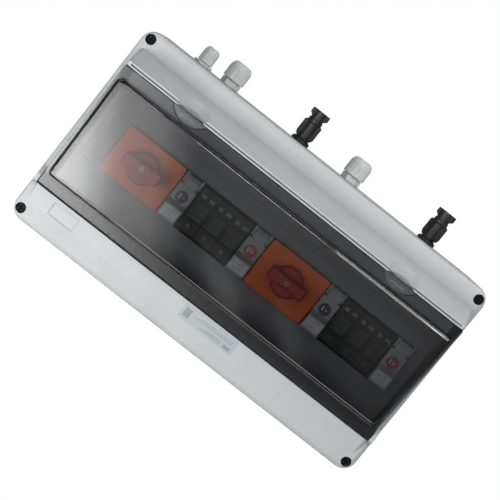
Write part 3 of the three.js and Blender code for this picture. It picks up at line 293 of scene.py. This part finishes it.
# painted shade: the colour is made a little darker down in hollows and close to steps, from ambient occlusion
def paintedHollowShade(tree, color, look):
    if "hollow" not in look:
        return color
    near = addNode(tree, "ShaderNodeAmbientOcclusion", samples=8)
    near.inputs["Distance"].default_value = look["hollowReach"]
    mix = addNode(tree, "ShaderNodeMix", data_type="RGBA", blend_type="MULTIPLY")
    mix.inputs[0].default_value = 1
    level = spread(tree, near.outputs["AO"], look["hollow"], 1, look["hollowFrom"], 1)
    tree.links.new(color, mix.inputs[6])
    tree.links.new(level, mix.inputs[7])
    return mix.outputs[2]


# what every moulded plastic has unless its own row says otherwise
plasticBase = {
    "mottleSize": 0.03, "dustSize": 0.004, "shade": 0.93, "dustiness": 0.25, "dustColor": (0.86, 0.86, 0.86),
    "lessRough": 0.05, "moreRough": 0.06, "specular": 0.45, "metallic": 0, "coat": 0, "coatRoughness": 0.15,
    "grainStrength": 0.25, "grainDepth": 0.00008, "grainSize": 0.0007, "edge": 0.0004,
}


# moulded plastic: slow mottling in colour, fine dust in colour and gloss, moulding grain, softened edges, and
# painted shade in hollows where its row asks for it
def mouldedPlastic(name, ownLook):
    look = {**plasticBase, **ownLook}
    material = bpy.data.materials.new(name)
    material.use_nodes = True
    tree = material.node_tree
    shader = tree.nodes["Principled BSDF"]
    mottle = noiseOf(tree, look["mottleSize"])
    dust = noiseOf(tree, look["dustSize"], 4, 0.6)
    color = look["color"]
    darker = tuple(level * look["shade"] for level in color)
    tinted = blendColors(tree, spread(tree, mottle, 0, 1), darker, color)
    speck = addNode(tree, "ShaderNodeMix", data_type="RGBA", blend_type="MULTIPLY")
    speck.inputs[0].default_value = look["dustiness"]
    tree.links.new(tinted, speck.inputs[6])
    dusted = blendColors(tree, spread(tree, dust, 0, 1), look["dustColor"], (1, 1, 1))
    tree.links.new(dusted, speck.inputs[7])
    tree.links.new(paintedHollowShade(tree, speck.outputs[2], look), shader.inputs["Base Color"])
    rough = look["roughness"]
    rough = spread(tree, dust, rough - look["lessRough"], rough + look["moreRough"])
    tree.links.new(rough, shader.inputs["Roughness"])
    shader.inputs["Specular IOR Level"].default_value = look["specular"]
    shader.inputs["Metallic"].default_value = look["metallic"]
    if look["coat"]:
        shader.inputs["Coat Weight"].default_value = look["coat"]
        shader.inputs["Coat Roughness"].default_value = look["coatRoughness"]
    grain = addNode(tree, "ShaderNodeBump")
    grain.inputs["Strength"].default_value = look["grainStrength"]
    grain.inputs["Distance"].default_value = look["grainDepth"]
    tree.links.new(noiseOf(tree, look["grainSize"], 2), grain.inputs["Height"])
    tree.links.new(softEdges(tree, look["edge"]), grain.inputs["Normal"])
    tree.links.new(grain.outputs["Normal"], shader.inputs["Normal"])
    return material


plastics = {
    # the cover's colour takes painted shade in its hollows and close to steps
    "coverPlastic": {"color": (0.60, 0.61, 0.62), "roughness": 0.5, "grainSize": 0.0009,
                     "grainStrength": 0.35, "edge": 0.0007, "dustiness": 0.3, "hollow": 0.5,
                     "hollowReach": 0.021, "hollowFrom": 0.35},
    "maskPlastic": {"color": (0.155, 0.160, 0.168), "roughness": 0.6, "grainSize": 0.0006, "specular": 0.25},
    "screwNylon": {"color": (0.004, 0.004, 0.005), "roughness": 0.6, "edge": 0.0002, "specular": 0.15},
    "fusePlastic": {"color": (0.31, 0.33, 0.33), "roughness": 0.5, "edge": 0.0003, "specular": 0.25},
    "ceramicTube": {"color": (0.75, 0.72, 0.65), "roughness": 0.3, "coat": 0.5, "edge": 0.0002},
    "linkCap": {"color": (0.72, 0.71, 0.68), "roughness": 0.28, "metallic": 1, "edge": 0.0002},
    "arresterPlastic": {"color": (0.010, 0.012, 0.012), "roughness": 0.5, "edge": 0.0003, "specular": 0.2},
    "switchPlastic": {"color": (0.022, 0.023, 0.025), "roughness": 0.5, "edge": 0.0003, "specular": 0.25},
    "orangePlate": {"color": (0.78, 0.135, 0.005), "roughness": 0.5, "edge": 0.0003, "specular": 0.15},
    "redHandle": {"color": (0.46, 0.012, 0.016), "roughness": 0.45, "edge": 0.0005, "specular": 0.25},
    "blankPlastic": {"color": (0.05, 0.053, 0.057), "roughness": 0.5, "edge": 0.0003},
    "plugPlastic": {"color": (0.012, 0.012, 0.013), "roughness": 0.42, "edge": 0.0004},
    "glandNylon": {"color": (0.78, 0.79, 0.77), "roughness": 0.42, "edge": 0.0005},
    "sealRubber": {"color": (0.012, 0.012, 0.012), "roughness": 0.75, "specular": 0.25},
    "zincRail": {"color": (0.55, 0.56, 0.58), "roughness": 0.35, "metallic": 1, "edge": 0.0002},
    "earthBrass": {"color": (0.65, 0.45, 0.18), "roughness": 0.3, "metallic": 1, "edge": 0.0003},
    "labelPaper": {"color": (0.66, 0.70, 0.68), "roughness": 0.5, "edge": 0.0001},
    "printInk": {"color": (0.04, 0.045, 0.05), "roughness": 0.5, "edge": 0.0001},
    "printWhite": {"color": (0.11, 0.115, 0.115), "roughness": 0.5, "edge": 0.0001},
    "discRed": {"color": (0.30, 0.02, 0.02), "roughness": 0.4, "edge": 0.0001},
    "discBlack": {"color": (0.010, 0.010, 0.012), "roughness": 0.4, "edge": 0.0001},
    "capGrey": {"color": (0.30, 0.20, 0.19), "roughness": 0.4, "edge": 0.0002},
    "coverSticker": {"color": (0.48, 0.53, 0.55), "roughness": 0.35, "edge": 0.0001},
    # painted light: pale pads that stand in for the light seen through the door's finger tabs
    "paintedLightPad": {"color": (0.42, 0.43, 0.44), "roughness": 0.4, "edge": 0.0001},
    "stickerInk": {"color": (0.30, 0.33, 0.36), "roughness": 0.4, "edge": 0.0001},
    "windowDark": {"color": (0.010, 0.022, 0.014), "roughness": 0.15, "coat": 0.6, "edge": 0.0001},
    "windowGreen": {"color": (0.02, 0.16, 0.08), "roughness": 0.15, "coat": 0.6, "edge": 0.0001},
}
materials = {name: mouldedPlastic(name, look) for name, look in plastics.items()}

# smoked clear plastic: tinted see-through walls with mirror gloss from Fresnel and a little haze, with
# painted shade on the rims at both ends
smoke = {
    "tint": (0.83, 0.83, 0.835),
    "hazeColor": (0.18, 0.18, 0.19),
    "haze": 0.003,
    "gloss": 0.045,
    "ior": 1.58,
    "sideFrom": 0.1672,      # painted shade: the rims at both ends are tinted darker beyond this X
    "sideFade": 0.001,
    "rimShadeTint": (0.52, 0.52, 0.525),
    "stripFrom": 0.0503,     # the grained strip along the hinge lies above this height, with the door shut
    "stripFade": 0.0004,
    "stripTint": (0.2, 0.2, 0.205),
    "stripHaze": 0.11,
    "stripGloss": 0.17,
    "stripGrain": 0.004,
    "stripDepth": 0.00004,
}


def smokedClear(name, look):
    material = bpy.data.materials.new(name)
    material.use_nodes = True
    tree = material.node_tree
    tree.nodes.clear()
    out = addNode(tree, "ShaderNodeOutputMaterial")
    clear = addNode(tree, "ShaderNodeBsdfTransparent")
    body = addNode(tree, "ShaderNodeBsdfDiffuse")
    mirror = addNode(tree, "ShaderNodeBsdfGlossy")
    fresnel = addNode(tree, "ShaderNodeFresnel")
    hazed = addNode(tree, "ShaderNodeMixShader")
    glazed = addNode(tree, "ShaderNodeMixShader")
    body.inputs["Color"].default_value = (*look["hazeColor"], 1)
    fresnel.inputs["IOR"].default_value = look["ior"]
    coord = addNode(tree, "ShaderNodeTexCoord")
    split = addNode(tree, "ShaderNodeSeparateXYZ")
    tree.links.new(coord.outputs["Object"], split.inputs[0])
    start, fade = look["stripFrom"], look["stripFade"]
    strip = spread(tree, split.outputs["Z"], 0, 1, start - fade, start + fade)
    outward = addNode(tree, "ShaderNodeMath", operation="ABSOLUTE")
    tree.links.new(split.outputs["X"], outward.inputs[0])
    # painted shade: the see-through tint turns darker on the rims at both ends
    start, fade = look["sideFrom"], look["sideFade"]
    rim = spread(tree, outward.outputs[0], 0, 1, start - fade, start + fade)
    tinted = addNode(tree, "ShaderNodeMix", data_type="RGBA")
    tree.links.new(strip, tinted.inputs[0])
    tree.links.new(blendColors(tree, rim, look["tint"], look["rimShadeTint"]), tinted.inputs[6])
    tinted.inputs[7].default_value = (*look["stripTint"], 1)
    tree.links.new(tinted.outputs[2], clear.inputs["Color"])
    grain = addNode(tree, "ShaderNodeBump")
    grain.inputs["Distance"].default_value = look["stripDepth"]
    tree.links.new(strip, grain.inputs["Strength"])
    tree.links.new(noiseOf(tree, look["stripGrain"], 1), grain.inputs["Height"])
    tree.links.new(grain.outputs["Normal"], mirror.inputs["Normal"])
    tree.links.new(spread(tree, strip, look["haze"], look["stripHaze"], 0, 1), hazed.inputs["Fac"])
    tree.links.new(spread(tree, strip, look["gloss"], look["stripGloss"], 0, 1), mirror.inputs["Roughness"])
    tree.links.new(clear.outputs[0], hazed.inputs[1])
    tree.links.new(body.outputs[0], hazed.inputs[2])
    tree.links.new(fresnel.outputs[0], glazed.inputs["Fac"])
    tree.links.new(hazed.outputs[0], glazed.inputs[1])
    tree.links.new(mirror.outputs[0], glazed.inputs[2])
    tree.links.new(glazed.outputs[0], out.inputs["Surface"])
    return material


materials["doorSmoke"] = smokedClear("doorSmoke", smoke)

# which finish each CAD node takes, by the start or the end of its name
finishes = [
    ("base_shell", "coverPlastic"), ("front_cover", "coverPlastic"), ("cover_screw", "screwNylon"),
    ("device_mask", "maskPlastic"), ("door_seal", "sealRubber"), ("seam_gasket", "sealRubber"),
    ("door", "doorSmoke"), ("din_rail", "zincRail"), ("rail_screw", "zincRail"),
    ("_link", "ceramicTube"), ("fuse_", "fusePlastic"), ("arrester_", "arresterPlastic"),
    ("_plate", "orangePlate"), ("_handle", "redHandle"), ("isolator_", "switchPlastic"),
    ("blanking_strip", "blankPlastic"), ("_seal", "sealRubber"), ("connector_", "plugPlastic"),
    ("gland_", "glandNylon"), ("earth_bar_holder", "fusePlastic"), ("earth_bar", "earthBrass"),
]


def finishOf(name):
    for mark, finish in finishes:
        if name.startswith(mark) or name.endswith(mark):
            return finish
    return "coverPlastic"


def smoothByAngle(obj, degrees=35):
    for polygon in obj.data.polygons:
        polygon.use_smooth = True
    split = obj.modifiers.new("edges", "EDGE_SPLIT")
    split.split_angle = math.radians(degrees)


def dressNodes():
    for name, obj in nodes.items():
        obj.data.materials.clear()
        obj.data.materials.append(materials[finishOf(name)])
        smoothByAngle(obj)


dressNodes()
print("CAD nodes dressed")


# thin flat pieces: an outline in x and z, pushed out of a face that looks along -Y
def plateMesh(name, outlines, thickness):
    shape = bmesh.new()
    for outline in outlines:
        ring = [shape.verts.new((x, 0, z)) for x, z in outline]
        face = shape.faces.new(ring)
        pushed = bmesh.ops.extrude_face_region(shape, geom=[face])
        moved = [v for v in pushed["geom"] if isinstance(v, bmesh.types.BMVert)]
        bmesh.ops.translate(shape, verts=moved, vec=(0, -thickness, 0))
    bmesh.ops.recalc_face_normals(shape, faces=shape.faces)
    mesh = bpy.data.meshes.new(name)
    shape.to_mesh(mesh)
    shape.free()
    return mesh


def addPlate(name, outlines, thickness, place, material, body, turn=None):
    mesh = plateMesh(name, outlines, thickness)
    mesh.materials.append(materials[material])
    obj = bpy.data.objects.new(name, mesh)
    bpy.context.scene.collection.objects.link(obj)
    obj.matrix_world = Matrix.Translation(place) @ (turn or Matrix.Identity(4))
    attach(obj, body)


def roundedBox(x0, x1, z0, z1, radius, steps=4):
    points = []
    for cx, cz, start in ((x1 - radius, z0 + radius, -90), (x1 - radius, z1 - radius, 0),
                          (x0 + radius, z1 - radius, 90), (x0 + radius, z0 + radius, 180)):
        for i in range(steps + 1):
            angle = math.radians(start + 90 * i / steps)
            points.append((cx + radius * math.cos(angle), cz + radius * math.sin(angle)))
    return points


def disc(radius, x=0, z=0, steps=40):
    return [(x + radius * math.cos(2 * math.pi * i / steps), z + radius * math.sin(2 * math.pi * i / steps))
            for i in range(steps)]


def bar(x0, x1, z0, z1):
    return [(x0, z0), (x1, z0), (x1, z1), (x0, z1)]


def middleX(node):
    low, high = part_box(node)
    return (low.x + high.x) / 2


# numbered polarity marks from bars: a sign and a digit
digitStrokes = {
    "1": [bar(0.2, 0.42, 0, 1), bar(0.02, 0.3, 0.72, 0.86)],
    "2": [bar(0, 0.6, 0.84, 1), bar(0.42, 0.6, 0.5, 0.9), bar(0, 0.6, 0.42, 0.58), bar(0, 0.18, 0.1, 0.5),
          bar(0, 0.6, 0, 0.16)],
    "+": [bar(0, 0.64, 0.41, 0.59), bar(0.23, 0.41, 0.18, 0.82)],
    "-": [bar(0, 0.56, 0.42, 0.58)],
}


def markOutlines(text, height, gap):
    outlines, x = [], 0
    for letter in text:
        strokes = digitStrokes[letter]
        width = max(p[0] for stroke in strokes for p in stroke)
        outlines += [[((x + p[0]) * height, (p[1] - 0.5) * height) for p in stroke] for stroke in strokes]
        x += width + gap
    shift = (x - gap) * height / 2
    return [[(px - shift, pz) for px, pz in outline] for outline in outlines]


fuseMarks = {"fuse_plus_1": "+1", "fuse_minus_1": "-1", "fuse_plus_2": "+2", "fuse_minus_2": "-2"}
fuseFace = {
    "labelHalf": 0.0074, "labelLow": 0.0098, "labelHigh": 0.0198, "labelCorner": 0.0004,
    "plateBehind": 0.0053,     # how far the lower plate lies behind the label block
    "discRadius": 0.0056, "discZ": -0.0012, "thickness": 0.00012,
    "markHeight": 0.0042, "markGap": 0.25,
    "dashes": ((-0.0048, 0.0046, 0.0168, 0.0173), (-0.0048, 0.0010, 0.0150, 0.0154),
               (0.0022, 0.0046, 0.0150, 0.0154), (-0.0048, 0.0046, 0.0128, 0.0133),
               (-0.0048, -0.0006, 0.0112, 0.0116)),
    "frameLine": 0.00028, "frameSide": 0.0012, "frameEnd": 0.0009,
}


def addFuseFace(name, mark, look):
    carrier = name + "_carrier"
    low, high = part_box(carrier)
    x, front = middleX(carrier), low.y
    thick = look["thickness"]
    half, bottom, top = look["labelHalf"], look["labelLow"], look["labelHigh"]
    label = roundedBox(-half, half, bottom, top, look["labelCorner"])
    addPlate(name + "_label", [label], thick, (x, front, 0), "labelPaper", carrier)
    line = look["frameLine"]
    half, bottom, top = half - look["frameSide"], bottom + look["frameEnd"], top - look["frameEnd"]
    ink = [bar(-half, half, bottom, bottom + line), bar(-half, half, top - line, top),
           bar(-half, -half + line, bottom, top), bar(half - line, half, bottom, top)]
    ink += [bar(*dash) for dash in look["dashes"]]
    addPlate(name + "_print", ink, thick / 2, (x, front - thick, 0), "printInk", carrier)
    discFace = front + look["plateBehind"]
    finish = "discRed" if mark.startswith("+") else "discBlack"
    addPlate(name + "_disc", [disc(look["discRadius"])], thick, (x, discFace, look["discZ"]), finish, carrier)
    strokes = markOutlines(mark, look["markHeight"], look["markGap"])
    addPlate(name + "_mark", strokes, thick / 2, (x, discFace - thick, look["discZ"]), "labelPaper", carrier)


for fuseName, fuseMark in fuseMarks.items():
    addFuseFace(fuseName, fuseMark, fuseFace)
print("fuse labels ready")

# fuse links: a glazed ceramic tube between two plated caps with rounded rims
fuseLink = {
    "middle": (-0.0469, 0.0012),   # y and z of its middle
    "half": 0.0189,
    "capRadius": 0.0051,
    "capLength": 0.0100,
    "tubeRadius": 0.0049,
    "rim": 0.0011,
    "capEdge": 0.0002,             # the small step at the open end of a cap
    "capGap": 0.0001,              # between a cap and the tube
    "sides": 40,
}


def turnedMesh(name, profile, sides):
    shape = bmesh.new()
    rings = []
    for radius, z in profile:
        rings.append([shape.verts.new((radius * math.cos(2 * math.pi * i / sides),
                                       radius * math.sin(2 * math.pi * i / sides), z)) for i in range(sides)])
    for lower, upper in zip(rings, rings[1:]):
        for i in range(sides):
            shape.faces.new((lower[i], lower[(i + 1) % sides], upper[(i + 1) % sides], upper[i]))
    shape.faces.new(list(reversed(rings[0])))
    shape.faces.new(rings[-1])
    bmesh.ops.recalc_face_normals(shape, faces=shape.faces)
    mesh = bpy.data.meshes.new(name)
    shape.to_mesh(mesh)
    shape.free()
    return mesh


def addTurned(name, profile, place, material, body, sides):
    mesh = turnedMesh(name, profile, sides)
    mesh.materials.append(materials[material])
    obj = bpy.data.objects.new(name, mesh)
    bpy.context.scene.collection.objects.link(obj)
    obj.location = place
    smoothByAngle(obj)
    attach(obj, body)
    return obj


def addFuseLink(name, look):
    y, z = look["middle"]
    place = (middleX(name + "_carrier"), y, z)
    half, rim = look["half"], look["rim"]
    capEnd = look["capLength"] - half
    radius, tube = look["capRadius"], look["tubeRadius"]
    bend = [(radius - rim + rim * math.sin(math.radians(a)), rim - rim * math.cos(math.radians(a)))
            for a in range(0, 91, 15)]
    lowCap = [(r, -half + d) for r, d in bend]
    lowCap += [(radius, capEnd - look["capEdge"]), (radius - look["capEdge"], capEnd)]
    highCap = [(r, -z) for r, z in reversed(lowCap)]
    body = [(tube, capEnd + look["capGap"]), (tube, -capEnd - look["capGap"])]
    link = name + "_link"
    for part, profile, finish in (("tube", body, "ceramicTube"), ("cap_low", lowCap, "linkCap"),
                                  ("cap_high", highCap, "linkCap")):
        piece = addTurned(link + "_" + part, profile, place, finish, name + "_carrier",
                          look["sides"])
        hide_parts(link)


for fuseName in fuseMarks:
    addFuseLink(fuseName, fuseLink)
print("fuse links ready")

arresterFace = {
    "lineTop": 0.0070, "linePitch": 0.00155, "lineHeight": 0.0004,
    "lines": ((-0.0066, 0.0066), (-0.0066, 0.0030), (-0.0066, -0.0020, 0.0000, 0.0052), (-0.0066, 0.0058),
              (-0.0066, -0.0012, 0.0004, 0.0040), (-0.0066, 0.0046), (-0.0066, -0.0024, -0.0004, 0.0060),
              (-0.0066, 0.0024), (-0.0066, 0.0050)),
    "footZ": (-0.0150, -0.0118), "footBars": ((-0.0064, -0.0044), (-0.0038, -0.0018), (0.0020, 0.0062)),
    "thickness": 0.00006,
    "windowRadius": 0.0021, "windowSides": 20, "windowZ": 0.0148,
}


def addArresterFace(name, glow, look):
    low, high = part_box(name)
    x, front = middleX(name), low.y
    outlines = []
    for row, ends in enumerate(look["lines"]):
        z = look["lineTop"] - row * look["linePitch"]
        outlines += [bar(ends[i], ends[i + 1], z - look["lineHeight"], z) for i in range(0, len(ends), 2)]
    outlines += [bar(x0, x1, *look["footZ"]) for x0, x1 in look["footBars"]]
    addPlate(name + "_print", outlines, look["thickness"], (x, front, 0), "printWhite", name)
    window = disc(look["windowRadius"], steps=look["windowSides"])
    addPlate(name + "_window", [window], look["thickness"], (x, front, look["windowZ"]), glow, name)


for arrester, glow in (("arrester_1", "windowDark"), ("arrester_2", "windowGreen")):
    for i in (1, 2, 3):
        addArresterFace(f"{arrester}_cartridge_{i}", glow, arresterFace)
print("arrester prints ready")

# round cap in the middle of each isolator handle
handleCap = {"radius": 0.0023, "sides": 28, "sink": 0.0013, "thickness": 0.0009}


def addHandleCap(name, look):
    handle = name + "_handle"
    low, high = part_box(handle)
    cap = disc(look["radius"], steps=look["sides"])
    place = (middleX(handle), low.y + look["sink"], 0)
    addPlate(name + "_cap", [cap], look["thickness"], place, "capGrey", handle)


for isolator in ("isolator_1", "isolator_2"):
    addHandleCap(isolator, handleCap)
print("handles ready")

# sticker on the slope above the door, with a few plain bars
sticker = {
    "foot": (0, -0.079, 0.0796),   # the upper edge of the slope
    "lean": 9.08,
    "x": (-0.040, 0.016),
    "z": (-0.0150, -0.0012),
    "corner": 0.0006,
    "thickness": 0.0001,
    "lift": 0.00003,
    "bars": ((-0.037, -0.030, -0.0062, -0.0028), (-0.027, -0.006, -0.0044, -0.0036),
             (-0.027, -0.012, -0.0062, -0.0055), (-0.037, 0.004, -0.0098, -0.0092),
             (-0.037, -0.004, -0.0118, -0.0112), (0.007, 0.0135, -0.0125, -0.0040)),
}


def addSticker(look):
    slope = Matrix.Rotation(-math.radians(look["lean"]), 4, "X")
    place = Vector(look["foot"]) + slope @ Vector((0, -look["lift"], 0))
    paper = roundedBox(*look["x"], *look["z"], look["corner"])
    addPlate("sticker", [paper], look["thickness"], place, "coverSticker", "box", slope)
    inkPlace = place + slope @ Vector((0, -look["thickness"], 0))
    ink = [bar(*spot) for spot in look["bars"]]
    addPlate("sticker_print", ink, look["thickness"] / 3, inkPlace, "stickerInk", "box",
             slope)


addSticker(sticker)

# pale pads with a fan of fine ribs behind the two finger tabs of the door: painted light, standing in for the
# light seen through the tabs, with the pale ribs as painted highlights
paintedLightPad = {
    "x": 0.1095,
    "hinge": (0, -0.0823, 0.0621),   # upper edge of the door's face
    "lean": 10.037,
    "low": -0.1244,                  # lower edge of the pad, down along the door
    "halfChord": 0.0170,
    "height": 0.0088,
    "behind": 0.0029,
    "thickness": 0.0003,
    "ribs": 9,
    "ribFan": 60,                    # degrees to each side of straight up
    "ribWidth": 0.0004,
    "ribHeight": 0.00012,
    "ribFoot": 0.0006,               # the fan's centre, above the pad's lower edge
    "ribStart": 0.003,               # from the fan's centre
    "ribReach": 0.0072,
    "ribFlare": 0.005,               # how much longer the outer ribs are
}


def padOutline(look, x, steps=20):
    half, height = look["halfChord"], look["height"]
    radius = (half ** 2 + height ** 2) / (2 * height)
    sweep = math.asin(half / radius)
    middle = look["low"] + height - radius
    angles = [sweep * (2 * i / steps - 1) for i in range(steps + 1)]
    return [(x + radius * math.sin(a), middle + radius * math.cos(a)) for a in angles]


def padRibs(look, x):
    foot = Vector((x, look["low"] + look["ribFoot"]))
    ribs = []
    for i in range(look["ribs"]):
        angle = math.radians(look["ribFan"] * (2 * i / (look["ribs"] - 1) - 1))
        along = Vector((math.sin(angle), math.cos(angle)))
        across = Vector((math.cos(angle), -math.sin(angle))) * look["ribWidth"] / 2
        start = foot + look["ribStart"] * along
        end = foot + (look["ribReach"] + look["ribFlare"] * abs(math.sin(angle)) ** 3) * along
        ribs.append([start - across, end - across, end + across, start + across])
    return ribs


def addPaintedLightPads(look):
    slope = Matrix.Rotation(-math.radians(look["lean"]), 4, "X")
    for side, name in ((-1, "left_light_pad"), (1, "right_light_pad")):
        x = side * look["x"]
        back = Vector(look["hinge"]) + slope @ Vector((0, look["behind"] + look["thickness"], 0))
        front = Vector(look["hinge"]) + slope @ Vector((0, look["behind"], 0))
        addPlate(name, [padOutline(look, x)], look["thickness"], back, "paintedLightPad", "door", slope)
        # painted highlights: the ribs take the pale label colour
        addPlate(name + "_ribs", padRibs(look, x), look["ribHeight"], front, "labelPaper", "door",
                 slope)


addPaintedLightPads(paintedLightPad)
print("labels ready")
